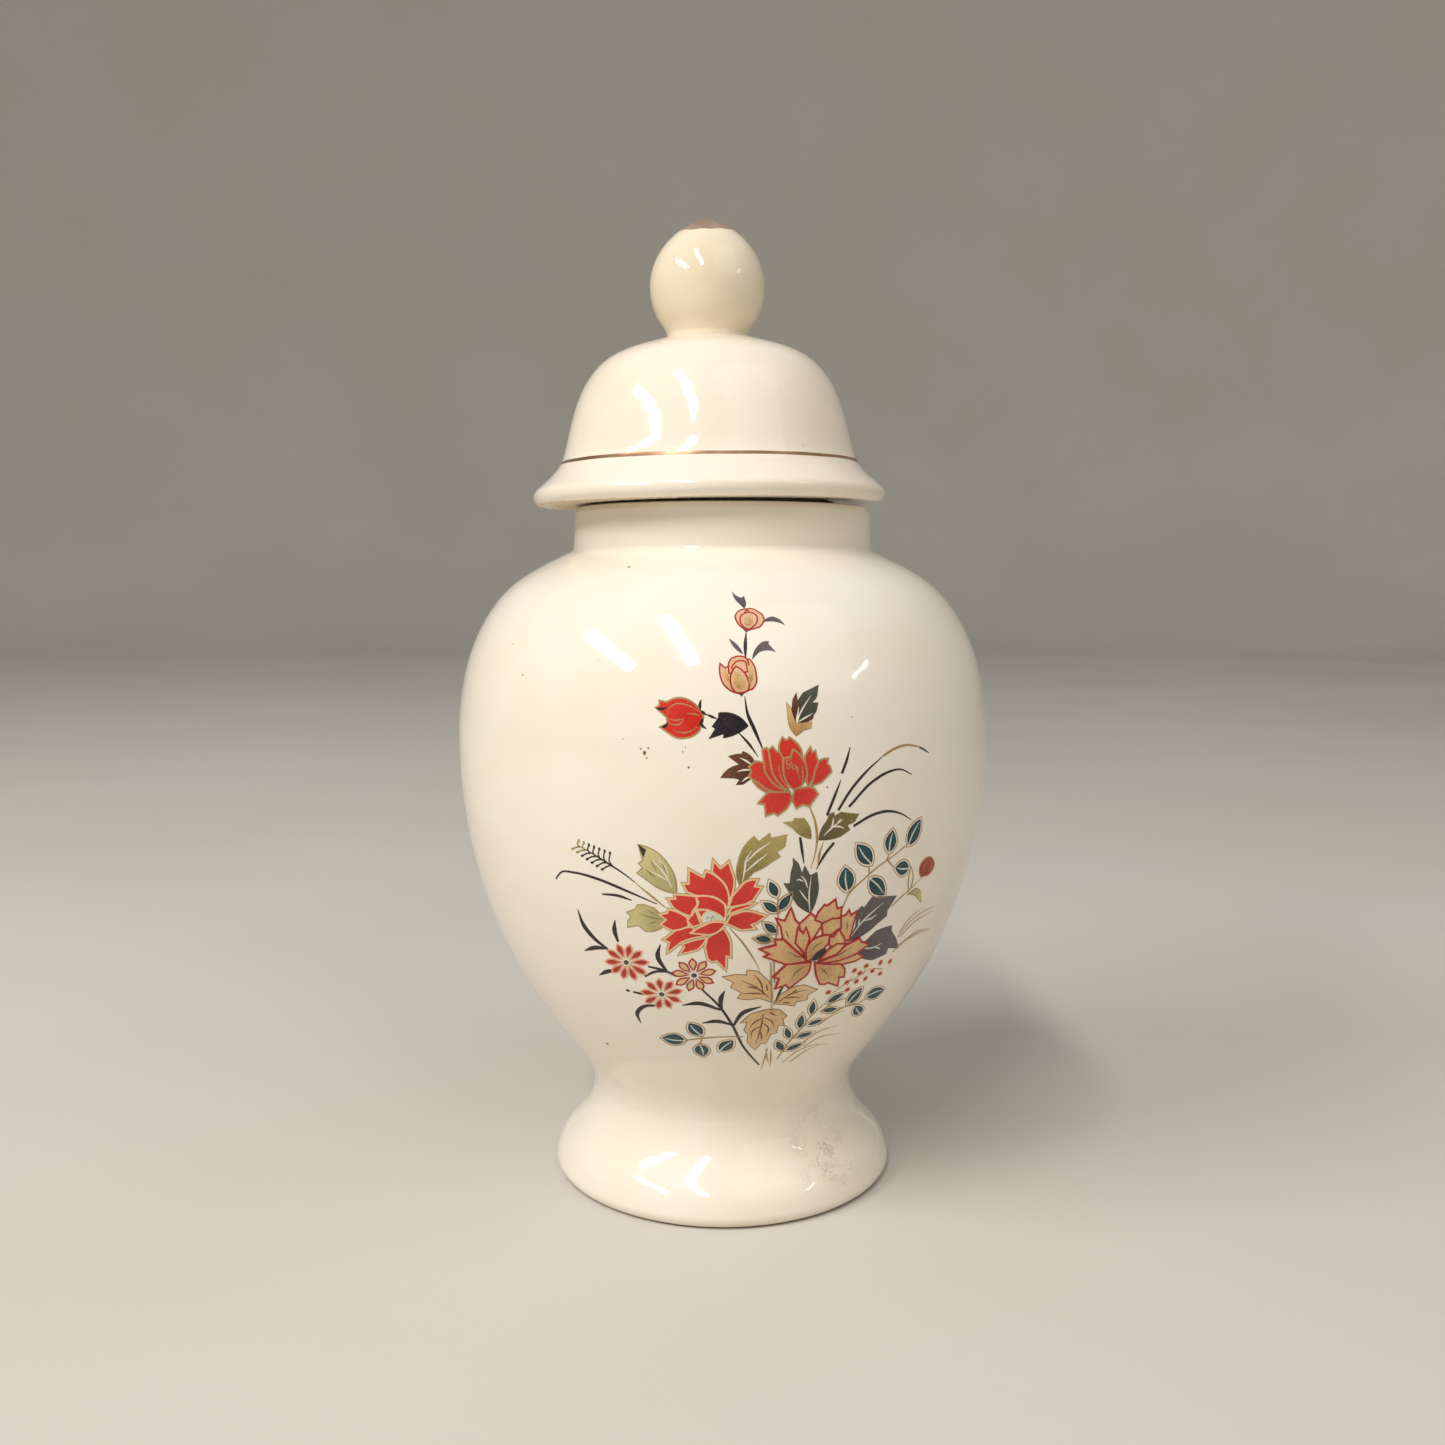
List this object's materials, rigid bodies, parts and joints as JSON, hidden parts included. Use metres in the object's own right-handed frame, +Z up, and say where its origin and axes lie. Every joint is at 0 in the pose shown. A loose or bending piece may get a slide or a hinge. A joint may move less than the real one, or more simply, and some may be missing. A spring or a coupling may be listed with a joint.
{
  "type": "ginger jar",
  "caption": "Lidded baluster jar in glazed ceramic on a flared foot, with a loose domed lid, ball knob and printed flower spray.",
  "frame": {"origin": "centre of the foot ring, on the surface the jar stands on", "axes": "+Z up along the jar's axis; -Y towards the decorated front, +X to the right of it"},
  "size_m": [0.1404, 0.1404, 0.2541],
  "materials": {
    "cream_glaze": "glossy ivory glaze with pinholes, bare clay on the foot ring",
    "gold_lustre": "thin fired gold lustre, hand banded, slightly worn",
    "enamel_red": "fired print, brick red",
    "enamel_pink": "fired print, pale rose",
    "enamel_green": "fired print, olive green",
    "enamel_teal": "fired print, blue green",
    "enamel_brown": "fired print, dark brown",
    "enamel_mauve": "fired print, greyed mauve",
    "enamel_gold": "fired gold outline"
  },
  "bodies": {
    "jar": {"jar_body": "cream_glaze"},
    "lid": {"lid": "cream_glaze", "knob": "cream_glaze", "lid_gold_line": "gold_lustre", "knob_gold_tip": "gold_lustre"}
  },
  "joints": [
    {"name": "lid_lift", "type": "slide", "parent": "jar", "child": "lid", "axis": [0, 0, 1], "range_m": [0, 0.09]}
  ]
}
